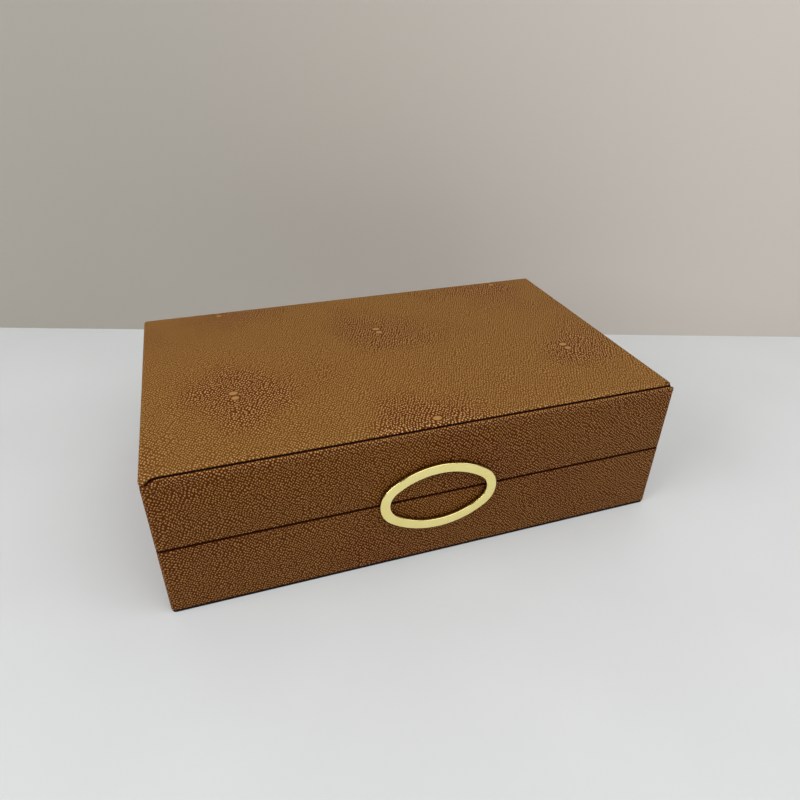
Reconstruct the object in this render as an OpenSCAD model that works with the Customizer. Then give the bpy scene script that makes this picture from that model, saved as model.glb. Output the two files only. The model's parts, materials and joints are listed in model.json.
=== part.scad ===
// Stationery box: board walls under leather, a hinged lid as high as the base, and an oval ring pull.
// Millimetres. X runs along the width, the front faces -Y and +Z is up.
// The origin is the middle of the felt face that the box stands on.

/* [Box] */
// Width of the box over its leather
box_w = 300; // [250:1:360]
// Depth of the box over its leather, front to back
box_d = 186; // [150:1:240]
// Height of the base, from the table to its rim
base_h = 44.8; // [38:0.2:70]
// Height of the lid, from its rim to its top
lid_h = 44.8; // [38:0.2:70]
// Gap between the two rims when the lid is shut
parting_gap = 0.4; // [0.3:0.1:0.8]

/* [Boards] */
// Thickness of the wall boards
wall_t = 8; // [7:0.5:10]
// Thickness of the bottom board
bottom_t = 6; // [4:0.5:8]
// Thickness of the top board
top_t = 6; // [4:0.5:8]

/* [Leather] */
// Thickness of the leather
cover_t = 1; // [0.8:0.1:1.2]
// Radius of the upright corners, seen from above
corner_r = 2.4; // [1.5:0.1:2.7]
// Radius of the edges round the top
edge_r = 1.8; // [1:0.1:2.4]
// Radius of the edges round the foot
foot_r = 1; // [0.6:0.1:2]
// Radius of the edges along the two rims
rim_r = 0.8; // [0.4:0.1:1.2]
// How far the leather turns down inside a rim
lip_h = 4; // [2.5:0.5:8]
// How far the leather turns in under the base
turn_under = 14; // [8:1:24]
// How far the front leather of the lid runs round onto its sides
front_wrap = 6; // [4:0.5:8]
// Radius of the two rolled edges that meet along the top front edge
roll_r = 1; // [0.8:0.1:1.2]
// Gap between two pieces of leather at a seam
seam_gap = 0.1; // [0.05:0.05:0.3]
// Distance of the base's back seam from the side of the box
back_seam_x = 22; // [15:1:30]

/* [Linings] */
// Thickness of the wall linings
lining_t = 2; // [1.5:0.1:3]
// Thickness of the floor lining and of the lining under the top
floor_t = 2.5; // [1.5:0.5:4]

/* [Felt] */
// Thickness of the felt under the base
felt_t = 1.2; // [0.8:0.1:2]
// How far the felt stays inside the edge of the base
felt_inset = 0.8; // [0.5:0.1:6]

/* [Ring pull] */
// Width of the ring
ring_w = 70; // [60:1:90]
// Height of the ring
ring_h = 44.5; // [38:0.5:56]
// How far the ring's middle lies above the line where the lid meets the base
ring_up = 0.5; // [0:0.1:3]
// Width of the ring's band
ring_band = 6; // [5:0.5:8]
// Thickness of the ring
ring_t = 3; // [2:0.5:4]
// Radius of the two ends, along the middle of the band
ring_end_r = 13; // [11:0.5:15]
// Gap between the ring and the leather behind it
ring_gap = 0.3; // [0.2:0.1:1]
// Distance between the ring's two posts
post_spacing = 34; // [24:1:38]
// Radius of the posts
post_r = 2.2; // [2:0.1:2.4]
// Radius of the screws that hold the posts
ring_screw_r = 1.25; // [1:0.05:1.4]
// Radius of these screws' heads
ring_head_r = 2.4; // [2:0.1:3]
// Height of these screws' heads
ring_head_h = 1.5; // [1:0.1:1.8]
// Length of these screws inside the posts
ring_screw_l = 4.5; // [3:0.5:6]
// Radius of the washers under these screws
washer_r = 3.6; // [3.2:0.1:4.5]
// Thickness of these washers
washer_t = 0.6; // [0.4:0.1:1]

/* [Hinges] */
// Distance from a side of the box to the middle of the hinge next to it
hinge_inset = 55; // [46:1:80]
// Length of each hinge
hinge_l = 34; // [31:1:44]
// Length of each hinge's barrel
barrel_l = 25; // [20:0.5:28]
// Width of a leaf, from its front edge to the pin's middle
leaf_w = 8.5; // [7.5:0.1:9]
// Thickness of each leaf
leaf_t = 1.6; // [1.4:0.1:2]
// Radius of the barrel
barrel_r = 2.5; // [2.2:0.1:2.8]
// Radius of the pin
pin_r = 1; // [0.8:0.05:1.2]
// How far the pin's middle lies behind the back of the box
pin_out = 1; // [0.6:0.1:1.4]
// How far the lid opens before its leaves meet their stops, in degrees
open_angle = 95; // [90:1:110]
// Distance between the two screws of a leaf
leaf_screw_spacing = 20; // [14:1:24]
// Radius of the leaf screws
leaf_screw_r = 1.1; // [0.8:0.05:1.2]
// Radius of the leaf screws' sunk heads
leaf_head_r = 1.9; // [1.6:0.05:2.1]
// Length of the leaf screws
leaf_screw_l = 10; // [7:0.5:14]
// Width of the slot across a leaf screw's head
slot_w = 0.5; // [0.3:0.05:0.7]

/* [Clearances] */
// Round the pin in its bores, on the radius
pin_clear = 0.05; // [0.02:0.01:0.1]
// Between neighbouring knuckles
knuckle_gap = 0.2; // [0.1:0.05:0.4]
// Round a hinge, in the leather and the boards
pocket_clear = 0.3; // [0.2:0.05:0.5]
// Round a screw or a post in its hole, on the radius
hole_clear = 0.1; // [0.05:0.05:0.2]
// Between a ring post and its washer
post_clear = 0.3; // [0.2:0.1:0.6]
// Angle left between the stop faces of a fully open hinge, in degrees
stop_play = 1; // [0.5:0.5:2]

/* [Hidden] */
$fn = 64;
// Overshoot of a cut past the face that it opens
cut = 1;
// Knuckles of a hinge, counted over both leaves
knuckles = 5;

// Levels, from the table up
hull_z0 = felt_t;
board_z0 = hull_z0 + cover_t;
floor_z = board_z0 + bottom_t + floor_t;
base_rim = base_h;
base_board_top = base_rim - cover_t;
parting_z = base_rim + parting_gap / 2;
lid_rim = base_rim + parting_gap;
lid_board_z0 = lid_rim + cover_t;
top_z = lid_rim + lid_h;
top_board_top = top_z - cover_t;
top_board_z0 = top_board_top - top_t;
ceiling_z = top_board_z0 - floor_t;

// Half widths and half depths, from the outside in
hull_x = box_w / 2;
hull_y = box_d / 2;
board_x = hull_x - cover_t;
board_y = hull_y - cover_t;
inner_x = board_x - wall_t;
inner_y = board_y - wall_t;
lip_x = inner_x - cover_t;
lip_y = inner_y - cover_t;

// The two rolled edges along the top front edge meet halfway round the corner.
// Their step is a whole number of hundredths, so that the leather ends exactly on their middles.
roll_step = ceil(100 * (2 * roll_r + seam_gap) / sqrt(2)) / 100;
seam_y = -hull_y + roll_r + roll_step;
seam_z = top_z - roll_r - roll_step;
roll_space = 2 * roll_r + roll_step + sqrt(2) * (roll_r + seam_gap) - 2 * cover_t;

// The ring's oval: two end arcs and two long arcs that meet them smoothly
ring_a = (ring_w - ring_band) / 2;
ring_b = (ring_h - ring_band) / 2;
ring_end_x = ring_a - ring_end_r;
ring_long_r = (pow(ring_end_x, 2) + pow(ring_b, 2) - pow(ring_end_r, 2)) / (2 * (ring_b - ring_end_r));
ring_drop = ring_long_r - ring_b;
ring_turn = atan2(ring_drop, ring_end_x);
ring_z = parting_z + ring_up;

// The ring's posts and the screws behind them
ring_back_y = -hull_y - ring_gap;
post_x = post_spacing / 2;
post_z = ring_z + sqrt(pow(ring_long_r, 2) - pow(post_x, 2)) - ring_drop;
sink_depth = washer_t + ring_head_h + post_clear;
washer_y = -inner_y - sink_depth;
post_l = washer_y - post_clear - ring_back_y;

// Hinge places
axis_y = hull_y + pin_out;
hinge_x = hull_x - hinge_inset;
knuckle_l = barrel_l / knuckles;
leaf_screw_y = (axis_y - leaf_w + board_y) / 2 - axis_y;
leaf_face = parting_gap / 2;
stop_half = (open_angle + stop_play) / 2;

LEATHER = [0.60, 0.37, 0.19];
BOARD = [0.74, 0.62, 0.46];
SUEDE = [0.72, 0.62, 0.50];
CARD = [0.80, 0.77, 0.70];
FELT = [0.05, 0.05, 0.05];
GOLD = [0.85, 0.78, 0.48];
BRASS = [0.78, 0.66, 0.38];
STEEL = [0.66, 0.67, 0.68];

// Shared shapes

// A box between two opposite corners
module span(low, high) {
    translate(low) cube([high[0] - low[0], high[1] - low[1], high[2] - low[2]]);
}

// A flat outline of width w, from height low to height high, with its own corner radius at each end
module soft_side(w, low, high, r_low, r_high) {
    translate([-w / 2, low + r_low]) square([w, high - low - r_low - r_high]);
    translate([-w / 2 + r_low, low]) square([w - 2 * r_low, 2 * r_low]);
    translate([-w / 2 + r_high, high - 2 * r_high]) square([w - 2 * r_high, 2 * r_high]);
    for (side = [-1, 1]) {
        translate([side * (w / 2 - r_low), low + r_low]) circle(r_low);
        translate([side * (w / 2 - r_high), high - r_high]) circle(r_high);
    }
}

// A flat rectangle w by d with round corners
module soft_plan(w, d, r) {
    soft_side(w, -d / 2, d / 2, r, r);
}

// The outside of one half of the box: a block with round edges all over
module hull_block(low, high, r_low, r_high) {
    intersection() {
        translate([0, 0, low]) linear_extrude(high - low) soft_plan(box_w, box_d, corner_r);
        translate([0, hull_y, 0]) rotate([90, 0, 0]) linear_extrude(box_d)
            soft_side(box_w, low, high, r_low, r_high);
        translate([-hull_x, 0, 0]) rotate([90, 0, 90]) linear_extrude(box_w)
            soft_side(box_d, low, high, r_low, r_high);
    }
}

// The leather turned down inside a rim, between two levels
module lip_ring(low, high) {
    difference() {
        span([-inner_x, -inner_y, low], [inner_x, inner_y, high]);
        span([-lip_x, -lip_y, low - cut], [lip_x, lip_y, high + cut]);
    }
}

// The room that both hinges need in one half of the box; up is 1 for the base and -1 for the lid
module hinge_room(up) {
    room_l = hinge_l + 2 * pocket_clear;
    room_w = leaf_w + barrel_r + pocket_clear + cut;
    for (side = [-1, 1]) {
        translate([side * hinge_x, axis_y, parting_z]) {
            rotate([0, 90, 0]) cylinder(r = barrel_r + pocket_clear, h = room_l, center = true);
            mirror([0, 0, up < 0 ? 1 : 0])
                translate([-room_l / 2, -leaf_w - pocket_clear, -leaf_face - leaf_t])
                    cube([room_l, room_w, leaf_t + leaf_face + cut]);
        }
    }
}

// The pilot holes of one half's leaf screws, down from the pocket into the back board
module leaf_pilots(up) {
    place_leaf_screws(up) translate([0, 0, -leaf_screw_l - hole_clear])
        cylinder(r = leaf_screw_r + hole_clear, h = leaf_screw_l + hole_clear);
}

// Places for the four leaf screws of one half, with their heads at the leaf's outer face
module place_leaf_screws(up) {
    for (side = [-1, 1], end = [-1, 1]) {
        translate([side * hinge_x + end * leaf_screw_spacing / 2, axis_y + leaf_screw_y, parting_z])
            mirror([0, 0, up < 0 ? 1 : 0]) translate([0, 0, -leaf_face]) children();
    }
}

// A place on each ring post's axis, at the back of the ring and turned so that +Z points into the box
module place_posts() {
    for (side = [-1, 1]) {
        translate([side * post_x, ring_back_y, post_z]) rotate([-90, 0, 0]) children();
    }
}

// Walls of board: front or back, and a side between them
module long_board(side, low, high) {
    walls = [side * board_y, side * inner_y];
    span([-board_x, min(walls), low], [board_x, max(walls), high]);
}

module side_board(side, low, high) {
    walls = [side * board_x, side * inner_x];
    span([min(walls), -inner_y, low], [max(walls), inner_y, high]);
}

// Linings of the walls: front or back, and a side between them
module long_lining(side, low, high) {
    faces = [side * inner_y, side * (inner_y - lining_t)];
    span([-inner_x, min(faces), low], [inner_x, max(faces), high]);
}

module side_lining(side, low, high) {
    faces = [side * inner_x, side * (inner_x - lining_t)];
    end_y = inner_y - lining_t;
    span([min(faces), -end_y, low], [max(faces), end_y, high]);
}

// Base

module base_front_board() {
    color(BOARD) long_board(-1, board_z0, base_board_top);
}

module base_back_board() {
    color(BOARD) difference() {
        long_board(1, board_z0, base_board_top);
        hinge_room(1);
        leaf_pilots(1);
    }
}

module base_left_board() {
    color(BOARD) side_board(-1, board_z0, base_board_top);
}

module base_right_board() {
    color(BOARD) side_board(1, board_z0, base_board_top);
}

module base_bottom_board() {
    color(BOARD) span([-inner_x, -inner_y, board_z0], [inner_x, inner_y, board_z0 + bottom_t]);
}

// One strip of leather round the four walls, turned in under the base and over the rim.
// Its seam is on the back.
module base_wall_cover() {
    color(LEATHER) difference() {
        union() {
            difference() {
                hull_block(hull_z0, base_rim, foot_r, rim_r);
                span([-board_x, -board_y, board_z0], [board_x, board_y, base_board_top]);
                span([-lip_x, -lip_y, base_board_top - cut], [lip_x, lip_y, base_rim + cut]);
                span([turn_under - hull_x, turn_under - hull_y, hull_z0 - cut],
                    [hull_x - turn_under, hull_y - turn_under, board_z0 + cut]);
            }
            lip_ring(base_rim - lip_h, base_board_top);
        }
        hinge_room(1);
        translate([hull_x - back_seam_x, 0, hull_z0 - cut])
            cube([seam_gap, hull_y + cut, base_rim - hull_z0 + 2 * cut]);
    }
}

// Card that fills the space between the turned-in edges of the leather
module base_infill_card() {
    color(CARD) span([turn_under - hull_x + hole_clear, turn_under - hull_y + hole_clear, hull_z0],
        [hull_x - turn_under - hole_clear, hull_y - turn_under - hole_clear, board_z0]);
}

module base_felt() {
    color(FELT) linear_extrude(felt_t)
        soft_plan(box_w - 2 * felt_inset, box_d - 2 * felt_inset, corner_r);
}

module base_front_lining() {
    color(SUEDE) long_lining(-1, floor_z, base_rim - lip_h);
}

module base_back_lining() {
    color(SUEDE) long_lining(1, floor_z, base_rim - lip_h);
}

module base_left_lining() {
    color(SUEDE) side_lining(-1, floor_z, base_rim - lip_h);
}

module base_right_lining() {
    color(SUEDE) side_lining(1, floor_z, base_rim - lip_h);
}

module base_floor_lining() {
    color(SUEDE) span([-inner_x, -inner_y, floor_z - floor_t], [inner_x, inner_y, floor_z]);
}

// Lid

// The front board has a sunk hole behind each post of the ring
module lid_front_board() {
    color(BOARD) difference() {
        long_board(-1, lid_board_z0, top_board_z0);
        place_posts() {
            cylinder(r = post_r + hole_clear, h = wall_t + cover_t + ring_gap + cut);
            translate([0, 0, washer_y - ring_back_y])
                cylinder(r = washer_r + hole_clear, h = sink_depth + cut);
        }
    }
}

module lid_back_board() {
    color(BOARD) difference() {
        long_board(1, lid_board_z0, top_board_z0);
        hinge_room(-1);
        leaf_pilots(-1);
    }
}

module lid_left_board() {
    color(BOARD) side_board(-1, lid_board_z0, top_board_z0);
}

module lid_right_board() {
    color(BOARD) side_board(1, lid_board_z0, top_board_z0);
}

// The top board lies on the four walls; its front edge is planed off for the rolled leather
module lid_top_board() {
    color(BOARD) translate([-board_x, 0, 0]) rotate([90, 0, 90]) linear_extrude(2 * board_x) polygon([
        [-board_y, top_board_z0],
        [board_y, top_board_z0],
        [board_y, top_board_top],
        [roll_space - board_y, top_board_top],
        [-board_y, top_board_top - roll_space]
    ]);
}

// The lid's whole leather, open along its top front edge where the two rolled edges go
module lid_shell() {
    difference() {
        hull_block(lid_rim, top_z, rim_r, edge_r);
        span([-board_x, -board_y, lid_board_z0], [board_x, board_y, top_board_top]);
        span([-lip_x, -lip_y, lid_rim - cut], [lip_x, lip_y, lid_board_z0 + cut]);
        span([-hull_x - cut, -hull_y - cut, seam_z], [hull_x + cut, seam_y, top_z + cut]);
    }
    lip_ring(lid_board_z0, lid_rim + lip_h);
}

// The part of the lid's leather that belongs to the front piece
module front_zone(extra) {
    span([-hull_x - cut, -hull_y - cut, lid_rim - cut],
        [hull_x + cut, -hull_y + front_wrap + extra, seam_z + extra]);
    span([-lip_x - extra, -hull_y - cut, lid_rim - cut],
        [lip_x + extra, -lip_y + extra, lid_rim + lip_h + extra]);
}

// A rolled edge along X, kept inside the round corners of the lid
module rolled_edge(y, z) {
    intersection() {
        hull_block(lid_rim, top_z, rim_r, edge_r);
        translate([-hull_x, y, z]) rotate([0, 90, 0]) cylinder(r = roll_r, h = box_w);
    }
}

module lid_front_cover() {
    color(LEATHER) difference() {
        union() {
            intersection() {
                lid_shell();
                front_zone(0);
            }
            rolled_edge(-hull_y + roll_r, seam_z);
        }
        place_posts() cylinder(r = post_r + hole_clear, h = cover_t + ring_gap + cut);
    }
}

// The top leather runs over the left, right and back edges down to the rim
module lid_top_cover() {
    color(LEATHER) difference() {
        union() {
            difference() {
                lid_shell();
                front_zone(seam_gap);
            }
            rolled_edge(seam_y, top_z - roll_r);
        }
        hinge_room(-1);
    }
}

module lid_front_lining() {
    color(SUEDE) long_lining(-1, lid_rim + lip_h, ceiling_z);
}

module lid_back_lining() {
    color(SUEDE) long_lining(1, lid_rim + lip_h, ceiling_z);
}

module lid_left_lining() {
    color(SUEDE) side_lining(-1, lid_rim + lip_h, ceiling_z);
}

module lid_right_lining() {
    color(SUEDE) side_lining(1, lid_rim + lip_h, ceiling_z);
}

module lid_top_lining() {
    color(SUEDE) span([-inner_x, -inner_y, ceiling_z], [inner_x, inner_y, top_board_z0]);
}

// Hinges

// Knuckles first, first + 2 and so on of a barrel along X
module knuckle_row(first, radius) {
    for (i = [first : 2 : knuckles - 1]) {
        translate([(i - knuckles / 2) * knuckle_l + knuckle_gap / 2, 0, 0]) rotate([0, 90, 0])
            cylinder(r = radius, h = knuckle_l - knuckle_gap);
    }
}

// A hole for a sunk screw, down through a leaf from its face at the origin
module leaf_hole() {
    hole_r = leaf_screw_r + hole_clear;
    sink_l = leaf_head_r - leaf_screw_r;
    translate([0, 0, -leaf_t - cut]) cylinder(r = hole_r, h = leaf_t + 2 * cut);
    translate([0, 0, -sink_l]) cylinder(r1 = hole_r, r2 = leaf_head_r + hole_clear, h = sink_l);
}

// A leaf below its pin, with the pin's middle at the origin and the leaf's free edge towards -Y.
// Past the ends of the barrel its back edge is a sloped stop that meets the other leaf's.
module hinge_leaf(first) {
    under = -leaf_face - leaf_t;
    difference() {
        union() {
            difference() {
                translate([-hinge_l / 2, 0, 0]) rotate([90, 0, 90]) linear_extrude(hinge_l) polygon([
                    [-leaf_w, -leaf_face],
                    [-leaf_w, under],
                    [-under / tan(stop_half), under],
                    [leaf_face / tan(stop_half), -leaf_face]
                ]);
                rotate([0, 90, 0])
                    cylinder(r = barrel_r + knuckle_gap, h = barrel_l + 2 * knuckle_gap, center = true);
            }
            knuckle_row(first, barrel_r);
            intersection() {
                translate([-hinge_l / 2, -leaf_w, under]) cube([hinge_l, leaf_w, leaf_t]);
                knuckle_row(first, barrel_r + 2 * knuckle_gap);
            }
        }
        rotate([0, 90, 0]) cylinder(r = pin_r + pin_clear, h = hinge_l + 2 * cut, center = true);
        for (end = [-1, 1]) {
            translate([end * leaf_screw_spacing / 2, leaf_screw_y, -leaf_face]) leaf_hole();
        }
    }
}

module base_leaf(side) {
    color(BRASS) translate([side * hinge_x, axis_y, parting_z]) hinge_leaf(0);
}

module lid_leaf(side) {
    color(BRASS) translate([side * hinge_x, axis_y, parting_z]) mirror([0, 0, 1]) hinge_leaf(1);
}

module hinge_pin(side) {
    color(STEEL) translate([side * hinge_x, axis_y, parting_z]) rotate([0, 90, 0])
        cylinder(r = pin_r, h = barrel_l - knuckle_gap, center = true);
}

module hinge_base_leaf_left() {
    base_leaf(-1);
}

module hinge_base_leaf_right() {
    base_leaf(1);
}

module hinge_lid_leaf_left() {
    lid_leaf(-1);
}

module hinge_lid_leaf_right() {
    lid_leaf(1);
}

module hinge_pin_left() {
    hinge_pin(-1);
}

module hinge_pin_right() {
    hinge_pin(1);
}

// A sunk wood screw with its head's face at the origin, pointing down
module leaf_screw() {
    point_l = 2 * leaf_screw_r;
    head_l = leaf_head_r - leaf_screw_r;
    difference() {
        union() {
            translate([0, 0, -head_l]) cylinder(r1 = leaf_screw_r, r2 = leaf_head_r, h = head_l);
            translate([0, 0, point_l - leaf_screw_l])
                cylinder(r = leaf_screw_r, h = leaf_screw_l - point_l - head_l / 2);
            translate([0, 0, -leaf_screw_l]) cylinder(r1 = 0, r2 = leaf_screw_r, h = point_l);
        }
        translate([-leaf_head_r - cut, -slot_w / 2, -head_l / 2])
            cube([2 * (leaf_head_r + cut), slot_w, head_l]);
    }
}

module hinge_base_screws() {
    color(BRASS) place_leaf_screws(1) leaf_screw();
}

module hinge_lid_screws() {
    color(BRASS) place_leaf_screws(-1) leaf_screw();
}

// Ring pull

// The ring's oval outline, grown outwards from the middle of the band
module ring_outline(grow) {
    meet_x = ring_end_x + (ring_end_r + grow) * cos(ring_turn);
    intersection() {
        translate([0, -ring_drop]) circle(ring_long_r + grow, $fn = 180);
        translate([0, ring_drop]) circle(ring_long_r + grow, $fn = 180);
        square([2 * meet_x, ring_h + ring_band], center = true);
    }
    for (side = [-1, 1]) {
        translate([side * ring_end_x, 0]) circle(ring_end_r + grow);
    }
}

// The ring hangs on the lid by two posts in its upper half, each with a blind hole for its screw
module ring_pull() {
    color(GOLD) union() {
        translate([0, ring_back_y, ring_z]) rotate([90, 0, 0]) linear_extrude(ring_t) difference() {
            ring_outline(ring_band / 2);
            ring_outline(-ring_band / 2);
        }
        place_posts() difference() {
            translate([0, 0, -ring_t / 2]) cylinder(r = post_r, h = post_l + ring_t / 2);
            translate([0, 0, post_l - ring_screw_l])
                cylinder(r = ring_screw_r + hole_clear, h = ring_screw_l + cut);
        }
    }
}

module ring_screws() {
    color(STEEL) place_posts() translate([0, 0, post_l + post_clear + washer_t]) {
        difference() {
            cylinder(r = ring_head_r, h = ring_head_h);
            translate([-ring_head_r - cut, -slot_w / 2, ring_head_h / 2])
                cube([2 * (ring_head_r + cut), slot_w, ring_head_h]);
        }
        translate([0, 0, -washer_t - ring_screw_l])
            cylinder(r = ring_screw_r, h = ring_screw_l + washer_t);
    }
}

module ring_washers() {
    color(STEEL) place_posts() translate([0, 0, post_l + post_clear]) difference() {
        cylinder(r = washer_r, h = washer_t);
        translate([0, 0, -cut]) cylinder(r = ring_screw_r + hole_clear, h = washer_t + 2 * cut);
    }
}

base_front_board();
base_back_board();
base_left_board();
base_right_board();
base_bottom_board();
base_wall_cover();
base_infill_card();
base_felt();
base_front_lining();
base_back_lining();
base_left_lining();
base_right_lining();
base_floor_lining();
lid_front_board();
lid_back_board();
lid_left_board();
lid_right_board();
lid_top_board();
lid_front_cover();
lid_top_cover();
lid_front_lining();
lid_back_lining();
lid_left_lining();
lid_right_lining();
lid_top_lining();
hinge_base_leaf_left();
hinge_base_leaf_right();
hinge_lid_leaf_left();
hinge_lid_leaf_right();
hinge_pin_left();
hinge_pin_right();
hinge_base_screws();
hinge_lid_screws();
ring_pull();
ring_screws();
ring_washers();
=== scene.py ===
"""Dresses the stationery box: shagreen leather, a gilt ring pull, suede linings, felt and sunk brass hinges.

Metres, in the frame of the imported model: X runs along the width, the front faces -Y and +Z is up.
"""
import json
import math

import bmesh
import bpy
from mathutils import Matrix, Vector


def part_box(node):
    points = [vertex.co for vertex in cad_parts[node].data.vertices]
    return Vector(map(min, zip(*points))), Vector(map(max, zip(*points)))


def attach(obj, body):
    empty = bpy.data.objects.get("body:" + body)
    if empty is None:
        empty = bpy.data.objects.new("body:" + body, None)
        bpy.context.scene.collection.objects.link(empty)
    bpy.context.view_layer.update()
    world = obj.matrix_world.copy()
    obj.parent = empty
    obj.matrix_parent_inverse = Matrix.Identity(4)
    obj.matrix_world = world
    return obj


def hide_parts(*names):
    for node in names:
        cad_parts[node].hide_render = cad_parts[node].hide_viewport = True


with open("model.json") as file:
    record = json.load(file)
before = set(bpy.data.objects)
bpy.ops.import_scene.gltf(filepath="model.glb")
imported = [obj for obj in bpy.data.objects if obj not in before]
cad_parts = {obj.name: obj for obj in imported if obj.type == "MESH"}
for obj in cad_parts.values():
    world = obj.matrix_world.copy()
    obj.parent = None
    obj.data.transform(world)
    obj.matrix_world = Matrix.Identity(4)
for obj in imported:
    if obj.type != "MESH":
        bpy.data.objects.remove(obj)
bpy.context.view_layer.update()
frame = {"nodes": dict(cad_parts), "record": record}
nodes = frame["nodes"]

MM = 0.001
# Two lengths or places that differ by less are the same
NEAR = 1e-7

# Sizes of the box, taken from the CAD solids
BASE_LOW, BASE_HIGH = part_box("base_wall_cover")
LID_LOW, LID_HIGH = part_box("lid_top_cover")
HALF_X = BASE_HIGH.x
HALF_Y = BASE_HIGH.y
TOP = LID_HIGH.z
PARTING = (BASE_HIGH.z + LID_LOW.z) / 2

# Leather: its thickness, then the rounds of the upright corners, the top edge, the foot, the rim and the lip
SKIN = 0.8 * MM
CORNER_R = 2.4 * MM
EDGE_R = 1.8 * MM
FOOT_R = 1.0 * MM
RIM_R = 0.8 * MM
LIP_R = 0.5 * MM
# How far it is turned in: across the rim, along the inside, under the base, and from the front round to the
# sides
RIM_WIDTH = 10 * MM
LIP_HEIGHT = 4 * MM
TURN_UNDER = 14 * MM
FRONT_WRAP = 6 * MM
# Where on the back the two ends of the base's strip meet, and the gap between them
BACK_SEAM_X = 128 * MM
SEAM_GAP = 0.15 * MM

# The seam along the lid's top front edge, where the rolled edges of the front and the top leather meet
ROLL_R = 1.2 * MM
ROLL_TURNS = 200
ROLL_STEPS = 14
# How far apart the middles of the two rolls are, how far below the top the front one lies, and how far apart
# they are seen from above
ROLL_SPACING = 3.2 * MM
SEAM_BELOW_TOP = 2.55 * MM
SEAM_REACH = math.sqrt(ROLL_SPACING ** 2 - (SEAM_BELOW_TOP - ROLL_R) ** 2)
# The seam dips at the left (-1) and the right (1) corner, deep enough for the top leather to go over the edge
# and down the side: by how much, and how far before the start of the corner's round the dip begins and ends
SEAM_DIPS = {-1: (2.6 * MM, 7 * MM, 0), 1: (2.6 * MM, -1.5 * MM, -7 * MM)}
DIP_EASE = 1.6
# The flat middle of the top ends this far inside the outline
TOP_BORDER = 4.4 * MM

# Felt under the base
FELT_OUT = 0.5 * MM
FELT_ROUNDING = 0.3 * MM

# Room for the hinges in the leather
HINGE_X = 95 * MM
HINGE_ROOM = 17.3 * MM
HINGE_ROOM_DEPTH = 7.8 * MM
HINGE_ROOM_DROP = 2.6 * MM

# Ring pull: its outline, how far it lies above the parting and right of the middle, and its band
RING_W = 69.5 * MM
RING_H = 44.5 * MM
RING_UP = 0.5 * MM
RING_BAND = 5.8 * MM
RING_RIGHT = 0.7 * MM
RING_T = 3 * MM
RING_END_R = 13 * MM
RING_BEVEL = 0.45 * MM
# Its two posts, each with a bore for a screw
POST_X = 17 * MM
POST_R = 2.2 * MM
POST_BORE_R = 1.4 * MM
POST_BORE = 4.5 * MM

# Smoothness of the rounds, in faces
CORNER_STEPS = 6
LIP_STEPS = 4
RIM_STEPS = 6
EDGE_STEPS = 14
DIP_STEPS = 12
RING_END_STEPS = 40
RING_SIDE_STEPS = 32
RING_BEVEL_STEPS = 5
POST_STEPS = 32
# About how long the faces along a straight wall may be
WALL_STEP = 12 * MM


# Meshes

def spread(start, end, count):
    """Evenly spaced values from start to end, with both of them."""
    return [start + (end - start) * i / count for i in range(count + 1)]


def arc(centre, radius, start, end, count):
    """Points of a flat arc, from one angle to another in degrees."""
    turns = [math.radians(angle) for angle in spread(start, end, count)]
    return [(centre[0] + radius * math.cos(t), centre[1] + radius * math.sin(t)) for t in turns]


def ease_in(value):
    """0 below 0, 1 above 1, and between them a curve that starts level."""
    return min(max(value, 0), 1) ** DIP_EASE


def add_piece(name, bm, material, body, node):
    """Makes the piece's object from its mesh and hangs it on its body in the place of a CAD node."""
    mesh = bpy.data.meshes.new(name)
    for face in bm.faces:
        face.smooth = True
    bm.to_mesh(mesh)
    bm.free()
    mesh.materials.append(material)
    piece = bpy.data.objects.new(name, mesh)
    bpy.context.scene.collection.objects.link(piece)
    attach(piece, body)
    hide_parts(node)
    return piece


def join_columns(bm, uv_layer, columns, uv_of, upwards=True, skip=None):
    """Faces between neighbouring columns of vertices.

    uv_of(i, j, k) gives the UV of column i's row j as seen from the face after column k.
    skip(k, j) is true where no face goes.
    """
    for k in range(len(columns) - 1):
        for j in range(len(columns[k]) - 1):
            if skip and skip(k, j):
                continue
            corners = [(k, j), (k + 1, j), (k + 1, j + 1), (k, j + 1)]
            if not upwards:
                corners.reverse()
            face = bm.faces.new([columns[i][row] for i, row in corners])
            for loop, (i, row) in zip(face.loops, corners):
                loop[uv_layer].uv = uv_of(i, row, k)


# The outline of the box, seen from above. A place on it is given by its distance along it from the middle of
# the front, positive to the right and negative to the left

STRAIGHT_X = HALF_X - CORNER_R
STRAIGHT_Y = HALF_Y - CORNER_R
QUARTER = CORNER_R * math.pi / 2
BACK_START = STRAIGHT_X + 2 * QUARTER + 2 * STRAIGHT_Y
HALF_ROUND = BACK_START + STRAIGHT_X


def on_outline(along):
    """The point and the outward direction of the outline, at a distance from the middle of the front."""
    along = (along + HALF_ROUND) % (2 * HALF_ROUND) - HALF_ROUND
    side = -1 if along < 0 else 1
    s = abs(along)
    if s <= STRAIGHT_X:
        point, out = Vector((s, -HALF_Y)), Vector((0, -1))
    elif s <= STRAIGHT_X + QUARTER:
        turn = (s - STRAIGHT_X) / CORNER_R
        out = Vector((math.sin(turn), -math.cos(turn)))
        point = Vector((STRAIGHT_X, -STRAIGHT_Y)) + CORNER_R * out
    elif s <= BACK_START - QUARTER:
        point, out = Vector((HALF_X, s - STRAIGHT_X - QUARTER - STRAIGHT_Y)), Vector((1, 0))
    elif s <= BACK_START:
        turn = (s - BACK_START + QUARTER) / CORNER_R
        out = Vector((math.cos(turn), math.sin(turn)))
        point = Vector((STRAIGHT_X, STRAIGHT_Y)) + CORNER_R * out
    else:
        point, out = Vector((STRAIGHT_X - (s - BACK_START), HALF_Y)), Vector((0, 1))
    return Vector((side * point.x, point.y)), Vector((side * out.x, out.y))


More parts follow.
